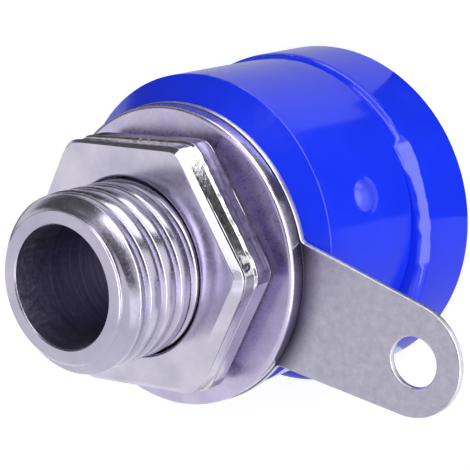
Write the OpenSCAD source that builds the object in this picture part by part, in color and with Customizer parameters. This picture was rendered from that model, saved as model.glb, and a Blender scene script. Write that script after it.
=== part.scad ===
// Insulated panel socket for a 4 mm plug, with a solder tag.
// A flanged, threaded metal sleeve carries a front insulator. A rear insulator, a solder tag, a washer
// and a hex nut follow it on the thread, and a panel is gripped between the two insulators.
// Lengths are in millimetres. Z is the sleeve's axis, the front face lies on Z = 0 and the tag points along +X.

/* [Plug bore] */
// Diameter of the bore that takes the plug
bore_d = 4.1; // [3.9:0.05:4.4]
// Lead-in bevel at the front mouth of the bore
lead_in = 0.3; // [0.1:0.05:0.5]
// Broken edge at the rear mouth of the bore
rear_mouth = 0.05; // [0.05:0.05:0.25]

/* [Sleeve] */
// Outside diameter of the thread
thread_d = 6; // [5.6:0.1:6.4]
// Length of thread that stands out behind the nut
thread_tail = 3.3; // [2:0.1:6]
// Radial depth of the bevel at the thread's end
thread_bevel_depth = 0.5; // [0.2:0.05:0.6]
// Axial length of the bevel at the thread's end
thread_bevel_length = 0.5; // [0.2:0.05:0.9]
// Diameter of the head that seats in the front insulator
head_d = 7.6; // [7:0.1:9]
// Thickness of the head
head_thick = 1.2; // [0.8:0.1:1.6]
// Depth of the head's front below the front face
head_recess = 0.4; // [0.2:0.05:0.8]

/* [Front insulator] */
// Outside diameter of the flange
front_d = 12.4; // [12:0.1:14]
// Length of the flange along the axis
front_length = 3.25; // [2.8:0.05:4]
// Rounding of the front edge
front_edge_r = 0.45; // [0.2:0.05:0.8]
// Rounding of the edge that faces the rear insulator
front_seam_r = 0.4; // [0.1:0.05:0.6]
// Diameter of the neck that passes through the panel
neck_d = 7.6; // [7.2:0.1:8]
// Length of the neck
neck_length = 4.2; // [3:0.1:4.5]

/* [Rear insulator] */
// Outside diameter
rear_d = 11.2; // [10.8:0.05:12]
// Length along the axis
rear_length = 5.7; // [5.3:0.05:7]
// Radial depth of the bevel round the tag's seat
rear_bevel_depth = 0.95; // [0.4:0.05:1.1]
// Axial length of the bevel round the tag's seat
rear_bevel_length = 0.7; // [0.3:0.05:0.9]
// Rounding of the edge that faces the front insulator
rear_seam_r = 0.15; // [0.05:0.05:0.3]
// Sideways rest of this loose piece within its clearance, towards +Y
rear_shift = 0.48; // [0:0.02:0.5]
// Diameter of the dimple in the side
dimple_d = 1.4; // [0.8:0.1:1.8]
// Depth of the dimple
dimple_depth = 0.2; // [0.1:0.05:0.3]
// Height of the dimple's centre above the seam between the insulators
dimple_rise = 2.65; // [2:0.05:3.5]
// Angle of the dimple round the axis, from the tag
dimple_angle = 29.5; // [0:0.5:90]

/* [Solder tag] */
// Sheet thickness
tag_thick = 0.25; // [0.2:0.05:0.5]
// Diameter of the ring under the washer
tag_ring_d = 10.6; // [10.2:0.05:11]
// Distance from the axis to the centre of the rounded tip
tag_reach = 9.6; // [9:0.05:12]
// Radius of the rounded tip
tag_tip_r = 1.9; // [1.5:0.05:2.4]
// Radius of the circle about the axis that the tab's edges are tangent to
tag_root_r = 2.6; // [2.4:0.05:3.2]
// Diameter of the eye for the wire
eye_d = 1.7; // [1.2:0.05:2]
// Distance from the centre of the rounded tip to the eye, outwards
eye_outset = 0.18; // [0:0.01:0.3]

/* [Washer] */
// Outside diameter
washer_d = 10.5; // [9.8:0.1:10.8]
// Thickness
washer_thick = 0.6; // [0.4:0.05:0.9]
// Rounding of the rim on the nut's side
washer_rim_r = 0.15; // [0.1:0.05:0.35]

/* [Hex nut] */
// Width across the flats
nut_flats = 8.5; // [8:0.05:9]
// Thickness
nut_thick = 2.1; // [1.5:0.1:3]
// Bevel along the six edges of the outer face
nut_bevel = 0.25; // [0.1:0.05:0.4]
// Depth of the bevel along the six edges on the washer's side
nut_back_depth = 0.35; // [0.1:0.05:0.5]
// Height of the bevel along the six edges on the washer's side
nut_back_height = 0.55; // [0.1:0.05:0.7]
// Share of the corners' reach that the bar's rounding leaves
nut_corner_share = 0.98; // [0.94:0.01:1]
// Countersink at the threaded hole
nut_sink = 0.1; // [0.1:0.05:0.5]
// Angle of the flats round the axis at rest
nut_angle = 45.5; // [0:0.5:60]

/* [Clearances] */
// Radial clearance between the thread and the nut
thread_gap = 0.05; // [0.02:0.01:0.1]
// Radial clearance between the thread and the pieces that slip over it
slip_gap = 0.15; // [0.1:0.05:0.3]
// Sideways rest of the loose tag and washer within that clearance, towards -Y
sag = 0.1; // [0:0.01:0.1]
// Radial clearance of the rear insulator on the thread and on the neck
rear_gap = 0.58; // [0.54:0.02:0.7]
// Axial clearance between the neck and the rear insulator's counterbore
neck_gap = 0.15; // [0.1:0.05:0.3]
// Radial clearance of the head and the sleeve in the front insulator
seat_gap = 0.05; // [0.02:0.01:0.1]

/* [Hidden] */
$fn = 96;
overcut = 1;
plastic_blue = [0.05, 0.17, 0.9];
bright_nickel = [0.8, 0.78, 0.84];
satin_nickel = [0.68, 0.66, 0.72];

bore_r = bore_d / 2;
thread_r = thread_d / 2;
slip_r = thread_r + slip_gap;
seam_z = front_length;
tag_z = seam_z + rear_length;
washer_z = tag_z + tag_thick;
nut_z = washer_z + washer_thick;
tail_z = nut_z + nut_thick;
end_z = tail_z + thread_tail;
head_top = head_recess + head_thick;

// Plane cutter that rounds a convex corner at the origin, with the solid towards -X and +Y
module corner_round(r) {
    difference() {
        translate([-r, -overcut]) square([r + overcut, r + overcut]);
        translate([-r, r]) circle(r);
    }
}

// Plane cutter that bevels a convex corner at the origin, with the solid towards -X and -Y
module corner_bevel(depth, length) {
    polygon([[-depth, 0], [0, -length], [overcut, -length], [overcut, overcut], [-depth, overcut]]);
}

// Plane cutter for a round hole about the axis, from one height to another
module hole_section(r, from, to) {
    translate([-overcut, from]) square([r + overcut, to - from]);
}

module front_insulator() {
    sleeve_r = thread_r + seat_gap;
    pocket_r = head_d / 2 + seat_gap;
    color(plastic_blue) rotate_extrude() difference() {
        union() {
            square([front_d / 2, front_length]);
            square([neck_d / 2, front_length + neck_length]);
        }
        hole_section(sleeve_r, -overcut, front_length + neck_length + overcut);
        hole_section(pocket_r, -overcut, head_top);
        translate([front_d / 2, 0]) corner_round(front_edge_r);
        translate([front_d / 2, front_length]) mirror([0, 1]) corner_round(front_seam_r);
    }
}

module sleeve() {
    color(bright_nickel) rotate_extrude() difference() {
        union() {
            translate([0, head_recess]) square([head_d / 2, head_thick]);
            translate([0, head_recess]) square([thread_r, end_z - head_recess]);
        }
        hole_section(bore_r, 0, end_z + overcut);
        translate([thread_r, end_z]) corner_bevel(thread_bevel_depth, thread_bevel_length);
        translate([bore_r, end_z]) mirror([1, 0]) corner_bevel(rear_mouth, rear_mouth);
        translate([bore_r, head_recess]) rotate(180) corner_bevel(lead_in, lead_in);
    }
}

// Spherical dimple pressed into the side of the rear insulator
module dimple() {
    ball_r = (pow(dimple_d / 2, 2) + pow(dimple_depth, 2)) / (2 * dimple_depth);
    rotate(dimple_angle) translate([rear_d / 2 + ball_r - dimple_depth, 0, seam_z + dimple_rise])
        sphere(ball_r);
}

module rear_insulator() {
    counterbore_top = seam_z + neck_length + neck_gap;
    color(plastic_blue) translate([0, rear_shift, 0]) difference() {
        rotate_extrude() difference() {
            translate([0, seam_z]) square([rear_d / 2, rear_length]);
            hole_section(thread_r + rear_gap, seam_z - overcut, tag_z + overcut);
            hole_section(neck_d / 2 + rear_gap, seam_z - overcut, counterbore_top);
            translate([rear_d / 2, tag_z]) corner_bevel(rear_bevel_depth, rear_bevel_length);
            translate([rear_d / 2, seam_z]) corner_round(rear_seam_r);
        }
        dimple();
    }
}

// Tab plate with straight edges tangent to the rounded tip and to a circle about the axis
module tab_plate() {
    taper = asin((tag_root_r - tag_tip_r) / tag_reach);
    root = tag_root_r * [sin(taper), cos(taper)];
    tip = [tag_reach, 0] + tag_tip_r * [sin(taper), cos(taper)];
    linear_extrude(tag_thick) polygon([root, tip, [tip.x, -tip.y], [root.x, -root.y]]);
    translate([tag_reach, 0, 0]) cylinder(r = tag_tip_r, h = tag_thick);
}

module solder_tag() {
    drill = tag_thick + 2 * overcut;
    color(satin_nickel) translate([0, -sag, tag_z]) difference() {
        union() {
            cylinder(d = tag_ring_d, h = tag_thick);
            tab_plate();
        }
        translate([0, 0, -overcut]) cylinder(r = slip_r, h = drill);
        translate([tag_reach + eye_outset, 0, -overcut]) cylinder(d = eye_d, h = drill);
    }
}

module washer() {
    color(satin_nickel) translate([0, -sag, 0]) rotate_extrude() difference() {
        translate([0, washer_z]) square([washer_d / 2, washer_thick]);
        hole_section(slip_r, washer_z - overcut, nut_z + overcut);
        translate([washer_d / 2, nut_z]) mirror([0, 1]) corner_round(washer_rim_r);
    }
}

// Bar between two opposite flats of the nut, with its four long edges bevelled
module flats_bar(length) {
    half = nut_flats / 2;
    back = half - nut_back_depth;
    front = half - nut_bevel;
    rotate([90, 0, 0]) linear_extrude(length, center = true) polygon([
        [-back, 0], [back, 0], [half, nut_back_height], [half, nut_thick - nut_bevel],
        [front, nut_thick], [-front, nut_thick], [-half, nut_thick - nut_bevel], [-half, nut_back_height]
    ]);
}

module hex_nut() {
    hole_r = thread_r + thread_gap;
    corner_r = nut_flats / sqrt(3);
    color(bright_nickel) translate([0, 0, nut_z]) difference() {
        rotate(nut_angle) intersection() {
            intersection_for(turn = [0, 60, 120]) rotate(turn) flats_bar(2 * nut_flats);
            translate([0, 0, -overcut]) cylinder(r = corner_r * nut_corner_share, h = nut_thick + 2 * overcut);
        }
        translate([0, 0, -overcut]) cylinder(r = hole_r, h = nut_thick + 2 * overcut);
        translate([0, 0, nut_thick - nut_sink])
            cylinder(r1 = hole_r, r2 = hole_r + nut_sink + overcut, h = nut_sink + overcut);
    }
}

front_insulator();
sleeve();
rear_insulator();
solder_tag();
washer();
hex_nut();
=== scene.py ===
import bpy
import numpy as np
from mathutils import Matrix, Vector


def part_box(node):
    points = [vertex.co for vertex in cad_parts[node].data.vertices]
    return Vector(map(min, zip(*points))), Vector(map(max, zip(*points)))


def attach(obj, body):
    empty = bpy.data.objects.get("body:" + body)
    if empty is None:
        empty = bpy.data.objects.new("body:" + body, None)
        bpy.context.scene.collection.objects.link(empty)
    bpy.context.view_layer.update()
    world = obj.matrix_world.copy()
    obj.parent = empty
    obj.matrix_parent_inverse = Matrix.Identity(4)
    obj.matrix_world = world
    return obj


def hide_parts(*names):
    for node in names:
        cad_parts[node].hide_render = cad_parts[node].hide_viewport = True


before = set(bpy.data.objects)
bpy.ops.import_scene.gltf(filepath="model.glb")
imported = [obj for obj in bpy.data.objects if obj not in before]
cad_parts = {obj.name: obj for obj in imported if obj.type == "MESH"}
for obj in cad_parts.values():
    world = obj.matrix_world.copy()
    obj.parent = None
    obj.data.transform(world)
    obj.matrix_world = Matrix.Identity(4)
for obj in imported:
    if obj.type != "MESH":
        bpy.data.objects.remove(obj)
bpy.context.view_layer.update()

# Shapes are worked out in millimetres and become metres where a mesh is made
MM = 0.001


def extent(node):
    """Lowest and highest corner of a CAD node, in millimetres."""
    low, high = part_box(node)
    return np.array(low) / MM, np.array(high) / MM


# Sizes that the frame gives
FRONT_R = extent("front_insulator")[1][0]
NECK_TOP = extent("front_insulator")[1][2]
SEAM_Z = extent("rear_insulator")[0][2]
REAR_R = extent("rear_insulator")[1][0]
REAR_SHIFT = extent("rear_insulator")[1][1] - REAR_R
TAG_Z, TAG_TOP = extent("solder_tag")[0][2], extent("solder_tag")[1][2]
TAG_RING_R = -extent("solder_tag")[0][0]
WASHER_R, WASHER_TOP = extent("washer")[1][0], extent("washer")[1][2]
SAG = WASHER_R - extent("washer")[1][1]
NUT_TOP = extent("hex_nut")[1][2]
HEAD_R, HEAD_Z = extent("sleeve")[1][0], extent("sleeve")[0][2]
END_Z = extent("sleeve")[1][2]

# Sizes that repeat the solids
BORE_R = 2.05
LEAD_IN = 0.3
THREAD_R = 3.0
HEAD_THICK = 1.2
END_BEVEL_DEPTH, END_BEVEL_LENGTH, REAR_MOUTH = 0.5, 0.5, 0.05
FRONT_EDGE_R, FRONT_SEAM_R = 0.45, 0.4
NECK_R = 3.8
REAR_BEVEL_DEPTH, REAR_BEVEL_LENGTH, REAR_SEAM_R = 0.95, 0.7, 0.15
DIMPLE_R, DIMPLE_DEPTH, DIMPLE_RISE, DIMPLE_ANGLE = 0.7, 0.2, 2.65, 29.5
TAG_REACH, TAG_TIP_R, TAG_ROOT_R = 9.6, 1.9, 2.6
EYE_R, EYE_OUTSET = 0.85, 0.18
WASHER_RIM_R = 0.15
NUT_HALF_FLATS, NUT_CORNER_SHARE = 4.25, 0.98
NUT_BEVEL, NUT_BACK_DEPTH, NUT_BACK_HEIGHT = 0.25, 0.35, 0.55
NUT_SINK, NUT_ANGLE = 0.1, 45.5
THREAD_GAP, SLIP_GAP, SEAT_GAP = 0.05, 0.15, 0.05
REAR_GAP, NECK_GAP = 0.58, 0.15
SLIP_R = THREAD_R + SLIP_GAP

# Thread
PITCH = 0.75
THREAD_DEPTH, GROOVE_HALF_WIDTH = 0.2, 0.14
CREST_SHARE, CREST_POWER = 0.3, 1.5
THREAD_PHASE = 0.95
RUN_OUT, RUN_IN, THREAD_MARGIN = 0.75, 0.2, 0.02
NUT_THREAD_DEPTH = 0.9 * THREAD_GAP

# Knife cut and nib on the front insulator's seam edge, with angles in degrees
TRIM_FROM, TRIM_TO, TRIM_FADE_IN, TRIM_FADE_OUT = 3, 50, 3, 4
TRIM_SLOPE, TRIM_WIDTH, TRIM_DROP, TRIM_UNEVEN = 0.72, 0.3, 0.1, 0.05
BULGE_WIDTH, BULGE_ANGLE, BULGE_SPREAD = 0.16, 44, 6
NIB_ANGLE, NIB_REACH, NIB_WIDTH = 101, 0.1, 0.12

# Dome that the broken gate left in the dimple
GATE_TOP, GATE_CURVE = 0.17, 1.6

# Wear and cropping marks on the nut, with angles in degrees
BURNISH_HEIGHT, BURNISH_DEPTH = 0.85, 0.08
TORN_INSET, BACK_INSET, TEAR_DEPTH = 0.01, 0.02, 0.02
STRIP_HALF_TURN, STRIP_FADE = 21, 9
BEVEL_WEAR, BEVEL_WEAR_SWING = 0.9, 0.45
RIDGE_SWING, RIDGE_SPREAD = 0.025, 0.12
DENT_ANGLE, DENT_DROP, DENT_R, DENT_DEPTH = 21, 0.5, 0.17, 0.06
NUT_HOLE_R = THREAD_R + THREAD_GAP
NUT_MOUTH_R = NUT_HOLE_R + NUT_SINK
RIDGE_Z, NUT_BACK_Z = NUT_TOP - BURNISH_HEIGHT, WASHER_TOP + NUT_BACK_HEIGHT
BURNISH_R = NUT_HALF_FLATS - BURNISH_DEPTH
BURNISH_BAND = RIDGE_Z + 0.05, NUT_TOP - 0.1
TORN_BAND = NUT_BACK_Z + 0.02, RIDGE_Z - 0.03
FACE_SLOT, BURNISH_SLOT, TORN_SLOT, UNDERCUT_SLOT = range(4)

# Distances past the washer between which the painted shade on the tag fades
PAINTED_SHADE_FROM, PAINTED_SHADE_TO = 0.05, 0.75

# Edges that the solids leave sharp
KEEN_R, FINE_R, SOFT_R = 0.02, 0.05, 0.1
NECK_EDGE_R, HEAD_EDGE_R, END_EDGE_R = 0.15, 0.15, 0.03
REAR_RIM_R, WASHER_FOOT_R = 0.06, 0.06
NUT_SHOULDER_R, RIDGE_R, NUT_BACK_R = 0.04, 0.03, 0.06
KNEE, TAG_EDGE_R = 0.16, 0.05

# Fineness of the meshes
ARC_STEPS = 5
TURN_STEPS = 240
FRONT_STEPS, SLEEVE_STEPS, NUT_STEPS = 720, 180, 600
THREAD_ROW = PITCH / 40
DIMPLE_STEPS, DIMPLE_FIELD = 81, 1.3
LIP_STEPS, BURNISH_STEPS, TORN_STEPS = 8, 14, 10
RING_STEPS, TIP_STEPS, KNEE_STEPS, HOLE_STEPS, EYE_STEPS = 160, 48, 8, 96, 64


# Mesh helpers

def rounded_loop(corners):
    """Closed outline through (r, z, fillet radius) corners, with an arc at each that has a fillet."""
    places = [np.array(corner[:2], float) for corner in corners]
    outline = []
    for number, (here, corner) in enumerate(zip(places, corners)):
        fillet = corner[2]
        if fillet == 0:
            outline.append(here)
            continue
        to_before = places[number - 1] - here
        to_after = places[(number + 1) % len(places)] - here
        to_before /= np.linalg.norm(to_before)
        to_after /= np.linalg.norm(to_after)
        half = np.arccos(np.clip(to_before @ to_after, -1, 1)) / 2
        inward = (to_before + to_after) / np.linalg.norm(to_before + to_after)
        centre = here + inward * fillet / np.sin(half)
        start = here + to_before * fillet / np.tan(half) - centre
        stop = here + to_after * fillet / np.tan(half) - centre
        sweep = np.pi - 2 * half
        for step in np.linspace(0, 1, ARC_STEPS + 1):
            arm = np.sin((1 - step) * sweep) * start + np.sin(step * sweep) * stop
            outline.append(centre + arm / np.sin(sweep))
    return np.array(outline)


def turned(radius, height, angles):
    """Grid of points at the given radii and heights (one row each) round the axis."""
    radius, height, angles = np.broadcast_arrays(radius, height, angles)
    return np.stack([radius * np.cos(angles), radius * np.sin(angles), height], axis=-1)


def turned_outline(outline, angles):
    """Grid of points that an outline of radii and heights sweeps round the axis."""
    return turned(outline[:, :1], outline[:, 1:], angles)


def even_angles(steps=TURN_STEPS):
    """Angles of one turn in equal steps."""
    return np.arange(steps) * 2 * np.pi / steps


def add_object(name, data):
    """New object in the scene's collection."""
    piece = bpy.data.objects.new(name, data)
    bpy.context.collection.objects.link(piece)
    return piece


def add_grid(name, points, materials, slots=0):
    """Closed ring of quads over a grid of points, with normals weighted by area so that flats stay flat."""
    rows, columns, _ = points.shape
    here = np.arange(rows * columns).reshape(rows, columns)
    above = np.roll(here, -1, axis=0)
    quads = np.stack([here, np.roll(here, -1, 1), np.roll(above, -1, 1), above], axis=-1).reshape(-1, 4)
    vertices = points.reshape(-1, 3)
    corners = vertices[quads]
    areas = np.cross(corners[:, 2] - corners[:, 0], corners[:, 3] - corners[:, 1])
    if (corners.mean(axis=1) * areas).sum() < 0:
        quads = quads[:, ::-1]
        areas = -areas
    normals = np.zeros_like(vertices)
    for side in range(4):
        np.add.at(normals, quads[:, side], areas)
    normals /= np.linalg.norm(normals, axis=1, keepdims=True)
    mesh = bpy.data.meshes.new(name)
    mesh.from_pydata((vertices * MM).tolist(), [], quads.tolist())
    for material in materials:
        mesh.materials.append(material)
    slots = np.broadcast_to(slots, (rows, columns)).astype(np.int32)
    mesh.polygons.foreach_set("material_index", slots.ravel())
    mesh.polygons.foreach_set("use_smooth", np.ones(len(quads), bool))
    mesh.normals_split_custom_set_from_vertices(normals.tolist())
    return add_object(name, mesh)


def smooth_step(value):
    """Soft step from 0 to 1 as the value goes from 0 to 1."""
    value = np.clip(value, 0, 1)
    return value * value * (3 - 2 * value)


def ripple(angles, seed, lowest, waves):
    """Uneven wave round a turn, mostly between -1 and 1, made of sines from the lowest number up."""
    chance = np.random.default_rng(seed)
    total = np.zeros_like(angles)
    for number in range(lowest, lowest + waves):
        total = total + chance.normal() * np.sin(number * angles + chance.uniform(0, 2 * np.pi))
    return total / np.sqrt(2 * waves)


def thread_relief(angles, height):
    """Depth of the right-hand thread's narrow groove below its rounded crest, from 0 to 1."""
    turn = height / PITCH - angles / (2 * np.pi) + THREAD_PHASE
    from_root = np.abs(turn - np.round(turn)) * PITCH
    crest = (0.5 + 0.5 * np.cos(2 * np.pi * turn)) ** CREST_POWER
    groove = smooth_step(1 - from_root / GROOVE_HALF_WIDTH)
    return CREST_SHARE * crest + (1 - CREST_SHARE) * groove


# Material helpers

class Shading:
    """Short ways to wire one material's nodes."""

    def __init__(self, name):
        self.material = bpy.data.materials.new(name)
        self.material.use_nodes = True
        self.nodes = self.material.node_tree.nodes
        self.links = self.material.node_tree.links
        self.shader = self.nodes["Principled BSDF"]

    def node(self, kind, settings=None, inputs=None):
        """New node, whose inputs are linked to sockets or set to values."""
        made = self.nodes.new(kind)
        for key, value in (settings or {}).items():
            setattr(made, key, value)
        for key, value in (inputs or {}).items():
            if isinstance(value, bpy.types.NodeSocket):
                self.links.new(value, made.inputs[key])
            else:
                made.inputs[key].default_value = value
        return made

    def place(self, stretch=(1, 1, 1)):
        """Object coordinates in millimetres, stretched along each axis."""
        inputs = {
            "Vector": self.node("ShaderNodeTexCoord").outputs["Object"],
            "Scale": tuple(factor / MM for factor in stretch),
        }
        return self.node("ShaderNodeMapping", inputs=inputs).outputs["Vector"]

    def from_axis(self):
        """Distance from the sleeve's axis in millimetres."""
        across = self.place((1, 1, 0))
        return self.node("ShaderNodeVectorMath", {"operation": "LENGTH"}, {0: across}).outputs["Value"]

    def noise(self, scale, detail=3, roughness=0.5, stretch=(1, 1, 1)):
        """Noise with the given number of features a millimetre."""
        inputs = {"Vector": self.place(stretch), "Scale": scale, "Detail": detail, "Roughness": roughness}
        return self.node("ShaderNodeTexNoise", inputs=inputs).outputs["Fac"]

    def ramp(self, source, low, high, low_at=0.3, high_at=0.7):
        """Colour that runs from low to high as source runs between two places."""
        made = self.node("ShaderNodeValToRGB", inputs={"Fac": source})
        for element, place, colour in zip(made.color_ramp.elements, (low_at, high_at), (low, high)):
            element.position = place
            element.color = (*colour, 1)
        return made.outputs["Color"]

    def spread(self, source, low, high, low_at=0.3, high_at=0.7):
        """Number that runs from low to high as source runs between two places."""
        inputs = {"Value": source, "From Min": low_at, "From Max": high_at, "To Min": low, "To Max": high}
        return self.node("ShaderNodeMapRange", inputs=inputs).outputs["Result"]

    def mix(self, share, first, second):
        """Colour that goes from a fixed first colour to the second with share."""
        # The mix node takes colours on inputs 6 and 7 and gives a colour on output 2
        made = self.node("ShaderNodeMix", {"data_type": "RGBA"}, {0: share, 6: (*first, 1), 7: second})
        return made.outputs[2]

    def bump(self, height, distance_mm, strength, normal=None):
        """Normal of a surface raised by height, on top of another bump's normal if one is given."""
        inputs = {"Height": height, "Distance": distance_mm * MM, "Strength": strength}
        if normal is not None:
            inputs["Normal"] = normal
        return self.node("ShaderNodeBump", inputs=inputs).outputs["Normal"]

    def finish(self, colour, roughness, normal, **constants):
        """Material with these sources on its shader, and constants on the shader's own sockets."""
        for socket, source in (("Base Color", colour), ("Roughness", roughness), ("Normal", normal)):
            self.links.new(source, self.shader.inputs[socket])
        for socket, value in constants.items():
            self.shader.inputs[socket].default_value = value
        return self.material


# Materials

def blue_plastic(name, smoothest, roughest, paler=0):
    """Moulded plastic with faint flow clouds and fine mould grain, paler where it was stressed."""
    s = Shading(name)
    deep, light = (0.005 + paler, 0.030 + paler, 0.80), (0.008 + paler, 0.037 + paler, 0.88)
    colour = s.ramp(s.noise(0.45, detail=2), deep, light)
    roughness = s.spread(s.noise(3), smoothest, roughest)
    waves = s.bump(s.noise(0.7, detail=1), 0.02, strength=0.4)
    normal = s.bump(s.noise(14, detail=2), 0.002, strength=0.5, normal=waves)
    return s.finish(colour, roughness, normal, IOR=1.5)


def turned_nickel():
    """Plating over the turned sleeve, with soft clouding and fine streaks round it."""
    s = Shading("bright_nickel_turned")
    clouds = s.noise(0.5, detail=4, roughness=0.55)
    colour = s.ramp(clouds, (0.41, 0.39, 0.51), (0.53, 0.50, 0.62))
    roughness = s.spread(s.noise(9), 0.2, 0.28)
    streaks = s.bump(s.noise(6, roughness=0.6, stretch=(0.25, 0.25, 2)), 0.005, strength=0.5)
    normal = s.bump(s.noise(20, detail=2), 0.0008, strength=0.5, normal=streaks)
    return s.finish(colour, roughness, normal, Metallic=1)


def tumbled_nickel():
    """Satin plating over the nut's outer face, with soft clouding."""
    s = Shading("bright_nickel_tumbled")
    clouds = s.noise(0.5, detail=4, roughness=0.55)
    colour = s.ramp(clouds, (0.48, 0.46, 0.58), (0.66, 0.63, 0.74))
    roughness = s.spread(s.noise(9), 0.17, 0.24)
    normal = s.bump(s.noise(18), 0.002, strength=0.5)
    return s.finish(colour, roughness, normal, Metallic=1)


def burnished_nickel():
    """Mirror-like plating over the burnished part of a cropped side, with a few pits."""
    s = Shading("bright_nickel_burnished")
    colour = s.ramp(s.noise(4), (0.5, 0.5, 0.54), (0.68, 0.67, 0.72))
    roughness = s.spread(s.noise(9), 0.1, 0.2)
    normal = s.bump(s.noise(5, roughness=0.6), 0.012, strength=0.5)
    return s.finish(colour, roughness, normal, Metallic=1)


def torn_nickel():
    """Plating over the torn part of a cropped side, with shear lines along it."""
    s = Shading("torn_nickel_plated")
    colour = s.ramp(s.noise(3), (0.19, 0.165, 0.29), (0.30, 0.265, 0.41))
    roughness = s.spread(s.noise(6), 0.26, 0.38)
    normal = s.bump(s.noise(7, roughness=0.6, stretch=(0.15, 0.15, 1)), 0.02, strength=0.7)
    return s.finish(colour, roughness, normal, Metallic=1)


def undercut_nickel():
    """Dull plating under the nut's back edge, with painted shade in its dark colour."""
    s = Shading("undercut_nickel_painted_shade")
    # Painted shade: the undercut's colour is kept dark where the nut and washer shade it
    colour = s.ramp(s.noise(3), (0.09, 0.08, 0.12), (0.15, 0.135, 0.19))
    roughness = s.spread(s.noise(6), 0.4, 0.6)
    normal = s.bump(s.noise(12), 0.003, strength=0.5)
    return s.finish(colour, roughness, normal, Metallic=1)


def bore_nickel():
    """Dull inner wall with fine rings that the drill left."""
    s = Shading("bore_nickel_dull")
    bands = s.noise(4, roughness=0.6, stretch=(0.1, 0.1, 1))
    colour = s.ramp(bands, (0.30, 0.275, 0.42), (0.48, 0.45, 0.58))
    roughness = s.spread(s.noise(6), 0.3, 0.45)
    normal = s.bump(s.noise(5, detail=2, stretch=(0.05, 0.05, 1)), 0.02, strength=0.6)
    return s.finish(colour, roughness, normal, Metallic=1)


def washer_steel(name, smoothest, roughest):
    """Satin passivated steel with soft blotches."""
    s = Shading(name)
    colour = s.ramp(s.noise(0.9), (0.46, 0.42, 0.61), (0.58, 0.53, 0.72))
    roughness = s.spread(s.noise(6), smoothest, roughest)
    normal = s.bump(s.noise(16), 0.0012, strength=0.5)
    return s.finish(colour, roughness, normal, Metallic=1)


def satin_nickel():
    """Satin stamped sheet with a mottled skin, and painted shade where it leaves the washer."""
    s = Shading("satin_nickel_sheet")
    sheet = s.ramp(s.noise(3.5, detail=6, roughness=0.7), (0.36, 0.35, 0.45), (0.49, 0.47, 0.56))
    # Painted shade: the sheet darkens towards the washer's edge, where the washer shades it
    unshaded = s.spread(s.from_axis(), 0, 1, WASHER_R + PAINTED_SHADE_FROM, WASHER_R + PAINTED_SHADE_TO)
    colour = s.mix(unshaded, (0.07, 0.065, 0.09), sheet)
    roughness = s.spread(s.noise(8), 0.26, 0.34)
    normal = s.bump(s.noise(16, detail=4, roughness=0.6), 0.004, strength=0.6)
    return s.finish(colour, roughness, normal, Metallic=1)


def cut_edge():
    """Bright sheared edge of the sheet."""
    s = Shading("bright_cut_edge")
    colour = s.ramp(s.noise(5), (0.5, 0.49, 0.56), (0.66, 0.65, 0.71))
    roughness = s.spread(s.noise(8), 0.3, 0.42)
    normal = s.bump(s.noise(10, roughness=0.6, stretch=(1, 1, 0.3)), 0.003, strength=0.5)
    return s.finish(colour, roughness, normal, Metallic=1)


# Pieces

def seam_edge(angles):
    """Radii and heights of the front insulator's rounded seam edge, with a stretch that a knife trimmed."""
    turn = np.degrees(np.angle(np.exp(1j * angles)))
    trimmed = smooth_step((turn - TRIM_FROM) / TRIM_FADE_IN) * smooth_step((TRIM_TO - turn) / TRIM_FADE_OUT)
    bulge = BULGE_WIDTH * np.exp(-((turn - BULGE_ANGLE) / BULGE_SPREAD) ** 2)
    width = TRIM_WIDTH + bulge + TRIM_UNEVEN * ripple(angles, seed=5, lowest=4, waves=60)
    along = np.array([0, 0.06, 0.35, 0.65, 0.94, 1])[:, None]
    facet_r = FRONT_R - TRIM_SLOPE * width * along
    facet_z = SEAM_Z - TRIM_DROP - width * (1 - along)
    inwards = np.array([0.08, 0.35, 0.65, 1])[:, None]
    cap_r = facet_r[-1:] + inwards * (FRONT_R - FRONT_SEAM_R - facet_r[-1:])
    cap_z = np.broadcast_to(SEAM_Z - TRIM_DROP * (1 - inwards) ** 2, cap_r.shape)
    sweep = np.linspace(0, np.pi / 2, len(along) + len(inwards))[:, None]
    round_r = FRONT_R - FRONT_SEAM_R * (1 - np.cos(sweep))
    round_z = SEAM_Z - FRONT_SEAM_R * (1 - np.sin(sweep))
    edge_r = round_r + trimmed * (np.concatenate([facet_r, cap_r]) - round_r)
    edge_z = round_z + trimmed * (np.concatenate([facet_z, cap_z]) - round_z)
    from_nib = np.radians(turn - NIB_ANGLE) * FRONT_R
    return edge_r + NIB_REACH * np.exp(-(from_nib / NIB_WIDTH) ** 2) * np.sin(sweep), edge_z


def build_front_insulator(material):
    """Flange and neck, whose sharp corner at the seam gives way to the trimmed edge."""
    pocket_r, sleeve_r = HEAD_R + SEAT_GAP, THREAD_R + SEAT_GAP
    pocket_top = HEAD_Z + HEAD_THICK
    outline = rounded_loop([
        (sleeve_r, NECK_TOP, FINE_R), (sleeve_r, pocket_top, FINE_R), (pocket_r, pocket_top, SOFT_R),
        (pocket_r, 0, SOFT_R), (FRONT_R, 0, FRONT_EDGE_R), (FRONT_R, SEAM_Z, 0),
        (NECK_R, SEAM_Z, SOFT_R), (NECK_R, NECK_TOP, NECK_EDGE_R),
    ])
    corner = int(np.flatnonzero((outline == (FRONT_R, SEAM_Z)).all(axis=1))[0])
    angles = even_angles(FRONT_STEPS)
    edge_r, edge_z = seam_edge(angles)
    points = np.concatenate([
        turned_outline(outline[:corner], angles), turned(edge_r, edge_z, angles),
        turned_outline(outline[corner + 1:], angles),
    ])
    return add_grid("front_moulding", points, [material])


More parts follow.
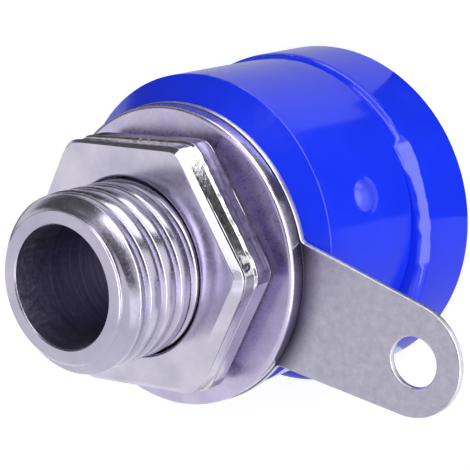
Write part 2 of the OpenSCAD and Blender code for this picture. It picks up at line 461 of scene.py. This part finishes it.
def build_rear_insulator(material, gate_material):
    """Bush with a fine patch of mesh where the gate broke off in a dimple."""
    centre = np.radians(DIMPLE_ANGLE)
    reach = DIMPLE_FIELD * DIMPLE_R
    dimple_z = SEAM_Z + DIMPLE_RISE
    wall_rows = [(REAR_R, z, 0) for z in np.linspace(dimple_z + reach, dimple_z - reach, DIMPLE_STEPS)]
    hole_r, counterbore_r = THREAD_R + REAR_GAP, NECK_R + REAR_GAP
    counterbore_top = NECK_TOP + NECK_GAP
    outline = rounded_loop([
        (hole_r, TAG_Z, FINE_R), (REAR_R - REAR_BEVEL_DEPTH, TAG_Z, FINE_R),
        (REAR_R, TAG_Z - REAR_BEVEL_LENGTH, REAR_RIM_R), *wall_rows, (REAR_R, SEAM_Z, REAR_SEAM_R),
        (counterbore_r, SEAM_Z, SOFT_R), (counterbore_r, counterbore_top, SOFT_R),
        (hole_r, counterbore_top, SOFT_R),
    ])
    half_turn = reach / REAR_R
    spare = 0.01
    fine = np.linspace(centre - half_turn, centre + half_turn, DIMPLE_STEPS)
    coarse = even_angles()
    angles = np.sort(np.concatenate([fine, coarse[np.abs(coarse - centre) > half_turn + spare]]))
    radius = np.repeat(outline[:, :1], len(angles), axis=1)
    away = np.hypot(REAR_R * np.sin(angles - centre), outline[:, 1:] - dimple_z)

    # The dimple has a soft lip, and the dome meets it in a soft crease
    softness = 0.01
    dimple = -softness * np.logaddexp(0, DIMPLE_DEPTH * (1 - (away / DIMPLE_R) ** 2) / softness)
    gate = GATE_TOP - GATE_CURVE * away ** 2 / 2
    relief = softness * np.logaddexp(gate / softness, dimple / softness)
    tolerance = 1e-6
    on_wall = (radius > REAR_R - tolerance) & (away < reach) & (np.cos(angles - centre) > 0)
    radius = np.where(on_wall, radius + relief, radius)
    points = turned(radius, outline[:, 1:], angles) + np.array([0, REAR_SHIFT, 0])
    return add_grid("rear_moulding", points, [material, gate_material], on_wall & (gate > dimple))


def build_sleeve(material, bore_material):
    """Sleeve with its head, its bore and the outside thread, which fades out towards both ends."""
    angles = even_angles(SLEEVE_STEPS)
    head_top = HEAD_Z + HEAD_THICK
    flat_r = THREAD_R - END_BEVEL_DEPTH
    thread_foot = NECK_TOP - 0.1
    bore_row = END_Z - 1
    heights = np.arange(END_Z - THREAD_MARGIN, NECK_TOP, -THREAD_ROW)[:, None]
    bevel = flat_r + (END_Z - heights) * END_BEVEL_DEPTH / END_BEVEL_LENGTH
    fade = smooth_step((heights - NECK_TOP) / RUN_OUT) * smooth_step((END_Z - heights) / RUN_IN)
    crest = np.minimum(THREAD_R, bevel) - THREAD_DEPTH * fade * thread_relief(angles, heights)

    # The first and last corner of the mouth only set the slant of the arcs beside them
    mouth = rounded_loop([
        (BORE_R, bore_row, 0), (BORE_R, END_Z - REAR_MOUTH, KEEN_R), (BORE_R + REAR_MOUTH, END_Z, KEEN_R),
        (flat_r, END_Z, END_EDGE_R), (THREAD_R, END_Z - END_BEVEL_LENGTH, 0),
    ])
    head = rounded_loop([
        (THREAD_R, thread_foot, 0), (THREAD_R, head_top, 0), (HEAD_R, head_top, FINE_R),
        (HEAD_R, HEAD_Z, HEAD_EDGE_R), (BORE_R + LEAD_IN, HEAD_Z, FINE_R),
        (BORE_R, HEAD_Z + LEAD_IN, FINE_R), (BORE_R, bore_row, 0),
    ])
    points = np.concatenate([
        turned_outline(mouth[1:-1], angles), turned(crest, heights, angles), turned_outline(head, angles),
    ])
    # The bore runs from the last row but one, past the end of the grid, to the second row
    slots = np.zeros((len(points), 1), int)
    slots[[0, -2, -1]] = 1
    return add_grid("threaded_sleeve", points, [material, bore_material], slots)


def build_washer(material, wall_material):
    """Flat ring with a rounded rim, whose outer wall and lower edge have their own material."""
    outline = rounded_loop([
        (SLIP_R, TAG_TOP, FINE_R), (WASHER_R, TAG_TOP, WASHER_FOOT_R),
        (WASHER_R, WASHER_TOP, WASHER_RIM_R), (SLIP_R, WASHER_TOP, SOFT_R),
    ])
    points = turned_outline(outline, even_angles()) - np.array([0, SAG, 0])
    slots = np.repeat([0, 1, 0, 0], ARC_STEPS + 1)[:, None]
    return add_grid("plain_washer", points, [material, wall_material], slots)


def hexagon(angles, half_flats, corner_r):
    """Radius of a hexagon whose corners are rounded off at corner_r."""
    sharpness = 90
    from_flat = (angles - np.radians(NUT_ANGLE) + np.pi / 6) % (np.pi / 3) - np.pi / 6
    flat = half_flats / np.cos(from_flat)
    return (flat ** -sharpness + corner_r ** -sharpness) ** (-1 / sharpness)


def within(values, band):
    """Which values lie between the two ends of a band."""
    return (values > band[0]) & (values < band[1])


def nut_section():
    """Outline of the nut's section across a cropped side, and the slot that follows each point."""
    bevel_z = NUT_TOP - NUT_BEVEL + BURNISH_DEPTH
    burnish_foot = RIDGE_Z + BURNISH_DEPTH
    back_r = NUT_HALF_FLATS - NUT_BACK_DEPTH
    burnish_margin, torn_margin = 0.03, 0.05
    burnish_rows = np.linspace(bevel_z - burnish_margin, burnish_foot + burnish_margin, BURNISH_STEPS)
    torn_rows = np.linspace(RIDGE_Z - torn_margin, NUT_BACK_Z + torn_margin, TORN_STEPS)
    lip = np.linspace(0, np.pi / 2, LIP_STEPS)
    lip_rows = zip(NUT_MOUTH_R - NUT_SINK * np.cos(lip), NUT_TOP - NUT_SINK * (1 - np.sin(lip)))
    # Each corner has a radius, a height, a fillet, and the slots of its arc and of what follows it
    corners = [
        *((r, z, 0, FACE_SLOT, FACE_SLOT) for r, z in lip_rows),
        (NUT_HALF_FLATS - NUT_BEVEL, NUT_TOP, FINE_R, FACE_SLOT, FACE_SLOT),
        (BURNISH_R, bevel_z, NUT_SHOULDER_R, FACE_SLOT, BURNISH_SLOT),
        *((BURNISH_R, z, 0, BURNISH_SLOT, BURNISH_SLOT) for z in burnish_rows),
        (BURNISH_R, burnish_foot, RIDGE_R, BURNISH_SLOT, BURNISH_SLOT),
        (NUT_HALF_FLATS, RIDGE_Z, RIDGE_R, BURNISH_SLOT, TORN_SLOT),
        *((NUT_HALF_FLATS - TORN_INSET, z, 0, TORN_SLOT, TORN_SLOT) for z in torn_rows),
        (NUT_HALF_FLATS - BACK_INSET, NUT_BACK_Z, NUT_BACK_R, BURNISH_SLOT, TORN_SLOT),
        (back_r, WASHER_TOP + NUT_BACK_HEIGHT / 2, KEEN_R, UNDERCUT_SLOT, UNDERCUT_SLOT),
        (back_r, WASHER_TOP, KEEN_R, UNDERCUT_SLOT, UNDERCUT_SLOT),
        (NUT_HOLE_R, WASHER_TOP, FINE_R, UNDERCUT_SLOT, FACE_SLOT),
    ]
    slots = []
    for _, _, fillet, arc, after in corners:
        slots += [arc] * (ARC_STEPS if fillet else 0) + [after]
    return rounded_loop(corners), np.array(slots)


def build_nut(face, burnished, torn, undercut):
    """Nut cropped from a bar: cropped sides are burnished near the outer face and torn below a ridge."""
    outline, slots = nut_section()
    section_r, section_z = outline[:, :1], outline[:, 1:]
    angles = even_angles(NUT_STEPS)

    # Two opposite sides are the bar's own and stay plain
    from_strip = (angles - np.radians(NUT_ANGLE - 60) + np.pi / 2) % np.pi - np.pi / 2
    cropped = smooth_step((np.abs(from_strip) - np.radians(STRIP_HALF_TURN)) / np.radians(STRIP_FADE))
    on_bevel = section_z > NUT_TOP - NUT_BEVEL
    wear = np.where(on_bevel, BEVEL_WEAR + BEVEL_WEAR_SWING * np.cos(angles), 1)
    inset = (section_r - NUT_HALF_FLATS) * np.where(within(section_z, BURNISH_BAND), cropped, 1) * wear

    # The section is round at the mouth and goes over to the hexagon at the bevel
    corner_r = 2 * NUT_HALF_FLATS / np.sqrt(3) * NUT_CORNER_SHARE
    share = np.clip((section_r - NUT_MOUTH_R) / (NUT_HALF_FLATS - NUT_BEVEL - NUT_MOUTH_R), 0, 1)
    hexed = hexagon(angles, NUT_HALF_FLATS + inset, corner_r + inset)
    radius = section_r + share * (hexed - section_r)

    # Dent, tears and uneven ridge
    tolerance = 0.01
    on_side = section_r > BURNISH_R - tolerance
    from_dent = NUT_HALF_FLATS * np.angle(np.exp(1j * (angles - np.radians(DENT_ANGLE))))
    dent = ((section_z - NUT_TOP + DENT_DROP) ** 2 + from_dent ** 2) / DENT_R ** 2
    radius = radius - DENT_DEPTH * np.exp(-dent ** 2) * on_side
    in_torn = within(section_z, TORN_BAND) & on_side
    tears = np.stack([ripple(angles, seed=20 + row, lowest=2, waves=10) for row in range(len(outline))])
    radius = radius - TEAR_DEPTH * in_torn * np.clip(0.5 + tears, 0, 1) * cropped
    near_ridge = np.exp(-((section_z - RIDGE_Z) / RIDGE_SPREAD) ** 2) * on_side
    ridge_wave = RIDGE_SWING * near_ridge * cropped * ripple(angles, seed=3, lowest=8, waves=70)
    body = turned(radius, NUT_TOP + (section_z - NUT_TOP) * wear + ridge_wave, angles)

    hole_foot, hole_top = WASHER_TOP + 0.1, NUT_TOP - NUT_SINK - THREAD_MARGIN
    heights = np.arange(hole_foot, hole_top, 2 * THREAD_ROW)[:, None]
    hole = turned(NUT_HOLE_R - NUT_THREAD_DEPTH * thread_relief(angles, heights), heights, angles)
    slots = np.concatenate([slots, np.full(len(heights), FACE_SLOT)])[:, None]
    slots = np.where((slots != UNDERCUT_SLOT) & (cropped < 0.5), FACE_SLOT, slots)
    return add_grid("threaded_nut", np.concatenate([body, hole]), [face, burnished, torn, undercut], slots)


def flat_arc(centre_x, radius, angles):
    """Points of an arc in the tag's plane, about a centre on its centre line."""
    return [(centre_x + radius * np.cos(a), radius * np.sin(a)) for a in angles]


def tag_outline():
    """Outer edge of the tag: most of a ring, then a small knee, a tapered tab, its tip and the way back."""
    taper = np.arcsin((TAG_ROOT_R - TAG_TIP_R) / TAG_REACH)
    leave = np.pi / 2 - taper - np.arccos(TAG_ROOT_R / TAG_RING_R)
    ring = np.linspace(leave + KNEE / TAG_RING_R, 2 * np.pi - leave - KNEE / TAG_RING_R, RING_STEPS)
    tip = np.linspace(-np.pi / 2 + taper, np.pi / 2 - taper, TIP_STEPS)
    corner = TAG_RING_R * np.array([np.cos(leave), np.sin(leave)])
    ring_side = TAG_RING_R * np.array([np.cos(ring[0]), np.sin(ring[0])])
    tab_side = corner + KNEE * np.array([np.cos(taper), -np.sin(taper)])
    bend = np.linspace(0, 1, KNEE_STEPS)[1:, None]
    knee = (1 - bend) ** 2 * ring_side + 2 * bend * (1 - bend) * corner + bend ** 2 * tab_side
    mirrored = [(x, -y) for x, y in knee]
    return flat_arc(0, TAG_RING_R, ring) + mirrored + flat_arc(TAG_REACH, TAG_TIP_R, tip) + list(knee[::-1])


def build_tag(material, edge_material):
    """Sheet with a rounded edge, filled between its outline, its hole and its eye."""
    hole = flat_arc(0, SLIP_R, even_angles(HOLE_STEPS))
    eye = flat_arc(TAG_REACH + EYE_OUTSET, EYE_R, even_angles(EYE_STEPS))
    curve = bpy.data.curves.new("tag_outline", "CURVE")
    curve.dimensions = "2D"
    curve.fill_mode = "BOTH"
    curve.extrude = ((TAG_TOP - TAG_Z) / 2 - TAG_EDGE_R) * MM
    curve.bevel_depth = TAG_EDGE_R * MM
    curve.bevel_resolution = 2
    curve.offset = -TAG_EDGE_R * MM
    for loop in (tag_outline(), hole, eye):
        spline = curve.splines.new("POLY")
        spline.points.add(len(loop) - 1)
        for point, (x, y) in zip(spline.points, loop):
            point.co = (x * MM, y * MM, 0, 1)
        spline.use_cyclic_u = True
    drawing = add_object("tag_drawing", curve)
    mesh = bpy.data.meshes.new_from_object(drawing.evaluated_get(bpy.context.evaluated_depsgraph_get()))
    bpy.data.objects.remove(drawing)
    mesh.transform(Matrix.Translation((0, -SAG * MM, (TAG_Z + TAG_TOP) / 2 * MM)))
    mesh.materials.clear()
    mesh.materials.append(material)
    mesh.materials.append(edge_material)
    flattest_edge = 0.95
    for face in mesh.polygons:
        face.use_smooth = True
        face.material_index = int(abs(face.normal.z) < flattest_edge)
    piece = add_object("stamped_tag", mesh)
    piece.modifiers.new("flat_faces", "WEIGHTED_NORMAL")
    return piece


plastic = blue_plastic("blue_plastic_moulded", 0.12, 0.19)
broken_plastic = blue_plastic("blue_plastic_broken", 0.28, 0.36, paler=0.03)
washer_face = washer_steel("washer_steel_satin", 0.24, 0.34)
washer_wall = washer_steel("washer_steel_wall", 0.11, 0.17)
nut_metals = (tumbled_nickel(), burnished_nickel(), torn_nickel(), undercut_nickel())
pieces = (
    (build_front_insulator(plastic), "front_insulator", "socket", "blue_plastic"),
    (build_sleeve(turned_nickel(), bore_nickel()), "sleeve", "socket", "bright_nickel"),
    (build_rear_insulator(plastic, broken_plastic), "rear_insulator", "clamp", "blue_plastic"),
    (build_washer(washer_face, washer_wall), "washer", "clamp", "washer_steel"),
    (build_tag(satin_nickel(), cut_edge()), "solder_tag", "tag", "satin_nickel"),
    (build_nut(*nut_metals), "hex_nut", "nut", "bright_nickel"),
)
for piece, node, body, slot in pieces:
    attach(piece, body)
    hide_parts(node)


# Studio

FLOOR_SIZE = 4000
FLOOR_DROP = 0.01
FLOOR_GREY, FLOOR_GLOW, FLOOR_ROUGHNESS = 0.6, 0.7, 0.9
AMBIENT = 0.38
CARD_HEIGHT = 0.02
WEDGE_STEPS, PATCH_STEPS = 24, 12
SKY_R = 400
LAMP_DISTANCE = 150

# Radii at which the cards on the floor begin and end
FOOT_R, INNER_R, FAR_R, SIDE_R, WALL_R, OUTER_R, GAP_R = 5.9, 8.5, 10.3, 11.5, 12.4, 13.4, 14
THREAD_CARD_R, WIDE_R = 40, 300

# Brightness of the cards that keep reflections dark
DARK, DUSKY, DIM = 0.04, 0.1, 0.12

# Camera fitted to the outlines in the photo, in millimetres
CAMERA_EYE = Vector((33.467, 22.273, 53.775))
CAMERA_AIM = Vector((-1.97, -1.32, 3.34))
CAMERA_UP = Vector((-0.34577, 0.91947, -0.18714))
LENS, SENSOR_WIDTH, CLIP_START = 132.74, 36, 0.001


def seen_rays(tree):
    """1 for rays from the camera and for mirror-like and see-through ones, otherwise 0."""
    path = tree.nodes.new("ShaderNodeLightPath")
    seen = path.outputs["Is Camera Ray"]
    for other in ("Is Glossy Ray", "Is Transmission Ray"):
        either = tree.nodes.new("ShaderNodeMath")
        either.operation = "MAXIMUM"
        tree.links.new(seen, either.inputs[0])
        tree.links.new(path.outputs[other], either.inputs[1])
        seen = either.outputs[0]
    return seen


def split_strength(tree, unseen, seen):
    """Strength that differs between the rays that are seen and the rest."""
    strength = tree.nodes.new("ShaderNodeMapRange")
    strength.inputs["To Min"].default_value = unseen
    strength.inputs["To Max"].default_value = seen
    tree.links.new(seen_rays(tree), strength.inputs["Value"])
    return strength.outputs["Result"]


def set_world():
    """Room that is white to look at and lights the object only dimly."""
    world = bpy.data.worlds.new("pale_room")
    bpy.context.scene.world = world
    world.use_nodes = True
    tree = world.node_tree
    background = tree.nodes["Background"]
    background.inputs["Color"].default_value = (1, 1, 1, 1)
    tree.links.new(split_strength(tree, AMBIENT, 1), background.inputs["Strength"])


def flat_mesh(name, corners):
    """Object with one face through the corners."""
    mesh = bpy.data.meshes.new(name)
    mesh.from_pydata((np.array(corners) * MM).tolist(), [], [list(range(len(corners)))])
    return add_object(name, mesh)


def add_floor():
    """Pale floor that keeps the shadow, lifted to white by a glow that only seen rays meet."""
    half = FLOOR_SIZE / 2
    signs = ((-1, -1), (1, -1), (1, 1), (-1, 1))
    floor = flat_mesh("floor", [(x * half, y * half, -FLOOR_DROP) for x, y in signs])
    material = bpy.data.materials.new("pale_floor")
    material.use_nodes = True
    tree = material.node_tree
    shader = tree.nodes["Principled BSDF"]
    shader.inputs["Base Color"].default_value = (FLOOR_GREY, FLOOR_GREY, FLOOR_GREY, 1)
    shader.inputs["Roughness"].default_value = FLOOR_ROUGHNESS
    shader.inputs["Specular IOR Level"].default_value = 0
    shader.inputs["Emission Color"].default_value = (1, 1, 1, 1)
    tree.links.new(split_strength(tree, 0, FLOOR_GLOW), shader.inputs["Emission Strength"])
    floor.data.materials.append(material)


def add_card(name, corners, brightness):
    """Studio card that only reflections see."""
    card = flat_mesh(name, corners)
    material = bpy.data.materials.new(name)
    material.use_nodes = True
    shader = material.node_tree.nodes["Principled BSDF"]
    shader.inputs["Base Color"].default_value = (0, 0, 0, 1)
    shader.inputs["Specular IOR Level"].default_value = 0
    shader.inputs["Emission Color"].default_value = (1, 1, 1, 1)
    shader.inputs["Emission Strength"].default_value = brightness
    card.data.materials.append(material)
    card.visible_camera = False
    card.visible_diffuse = False
    card.visible_shadow = False
    card.visible_transmission = False


def wedge(first, last, near, far, skew=(0, 0)):
    """Corners of a sector of the floor between two azimuths in degrees, which skew turns at the far end."""
    rim = np.radians(np.linspace(first + skew[0], last + skew[1], WEDGE_STEPS))
    root = np.radians(np.linspace(last, first, WEDGE_STEPS))
    corners = [(far * np.cos(a), far * np.sin(a), CARD_HEIGHT) for a in rim]
    return corners + [(near * np.cos(a), near * np.sin(a), CARD_HEIGHT) for a in root]


def direction(azimuth, elevation):
    """Unit vector from the object towards a place in the sky, in degrees."""
    a, e = np.radians(azimuth), np.radians(elevation)
    return np.array([np.cos(a) * np.cos(e), np.sin(a) * np.cos(e), np.sin(e)])


def sky_patch(azimuths, elevations):
    """Corners of a patch of a wide dome round the object."""
    low = [SKY_R * direction(a, elevations[0]) for a in np.linspace(*azimuths, PATCH_STEPS)]
    high = [SKY_R * direction(a, elevations[1]) for a in np.linspace(*azimuths[::-1], PATCH_STEPS)]
    return low + high


def add_lamp(name, azimuth, elevation, size, radiance):
    """Soft light of the given width and height, aimed at the middle of the object."""
    light = bpy.data.lights.new(name, "AREA")
    light.shape = "RECTANGLE"
    light.size, light.size_y = size[0] * MM, size[1] * MM
    light.energy = radiance * np.pi * light.size * light.size_y
    lamp = add_object(name, light)
    middle = np.array([0, 0, END_Z / 2])
    towards = direction(azimuth, elevation)
    lamp.location = Vector((middle + LAMP_DISTANCE * towards) * MM)
    lamp.rotation_euler = Vector(towards).to_track_quat("Z", "Y").to_euler()
    lamp.visible_camera = False


def add_camera():
    """Camera that stands where the photo's stood."""
    back = (CAMERA_EYE - CAMERA_AIM).normalized()
    right = CAMERA_UP.cross(back).normalized()
    up = back.cross(right)
    data = bpy.data.cameras.new("photo_camera")
    data.lens = LENS
    data.sensor_width = SENSOR_WIDTH
    data.clip_start = CLIP_START
    camera = add_object("photo_camera", data)
    turn = Matrix((right, up, back)).transposed().to_4x4()
    camera.matrix_world = Matrix.Translation(CAMERA_EYE * MM) @ turn
    bpy.context.scene.camera = camera


set_world()
add_floor()
add_card("inner_side_card", wedge(-45, 16, FOOT_R, SIDE_R), 0.4)
add_card("foot_card", wedge(16, 76, FOOT_R, INNER_R), DARK)
add_card("foot_back_card", wedge(76, 215, FOOT_R, INNER_R), 0.55)
add_card("inner_card", wedge(16, 67, INNER_R, WALL_R, skew=(0, 7)), DARK)
add_card("inner_back_card", wedge(67, 136, INNER_R, WALL_R, skew=(7, 0)), 0.6)
add_card("inner_far_card", wedge(136, 215, INNER_R, FAR_R), 0.6)
add_card("thread_inner_card", wedge(136, 215, FAR_R, OUTER_R), DARK)
add_card("thread_gap_card", wedge(112, 136, WALL_R, OUTER_R), DARK)
add_card("wall_side_card", wedge(-60, 5, SIDE_R, OUTER_R), 0.5)
add_card("wall_near_card", wedge(5, 16, SIDE_R, WALL_R), DIM)
add_card("wall_card", wedge(5, 90, WALL_R, OUTER_R), DIM)
add_card("wall_gap_card", wedge(62, 105, OUTER_R, GAP_R), DARK)
add_card("near_card", wedge(46, 62, OUTER_R, WIDE_R), DARK)
add_card("side_card", wedge(-60, 46, OUTER_R, WIDE_R), 1.25)
add_card("low_card", wedge(-100, -60, SIDE_R, GAP_R), 0.4)
add_card("thread_card", wedge(62, 112, GAP_R, THREAD_CARD_R), 3.4)
add_card("thread_back_card", wedge(112, 200, OUTER_R, THREAD_CARD_R), DARK)
add_card("camera_side_card", sky_patch((-45, -2), (40, 64)), 1.6)
add_card("camera_card", sky_patch((-2, 40), (46, 80)), DARK)
add_card("camera_back_card", sky_patch((40, 98), (42, 80)), DARK)
add_card("back_card", sky_patch((98, 112), (0, 46)), DUSKY)
add_card("back_middle_card", sky_patch((112, 126), (0, 43)), DUSKY)
add_card("back_far_card", sky_patch((126, 190), (0, 36)), DUSKY)
add_lamp("side_lamp", azimuth=22, elevation=17, size=(300, 65), radiance=4)
add_lamp("key_lamp", azimuth=74, elevation=34.5, size=(125, 40), radiance=2.8)
add_camera()
bpy.context.scene.view_settings.view_transform = "Standard"
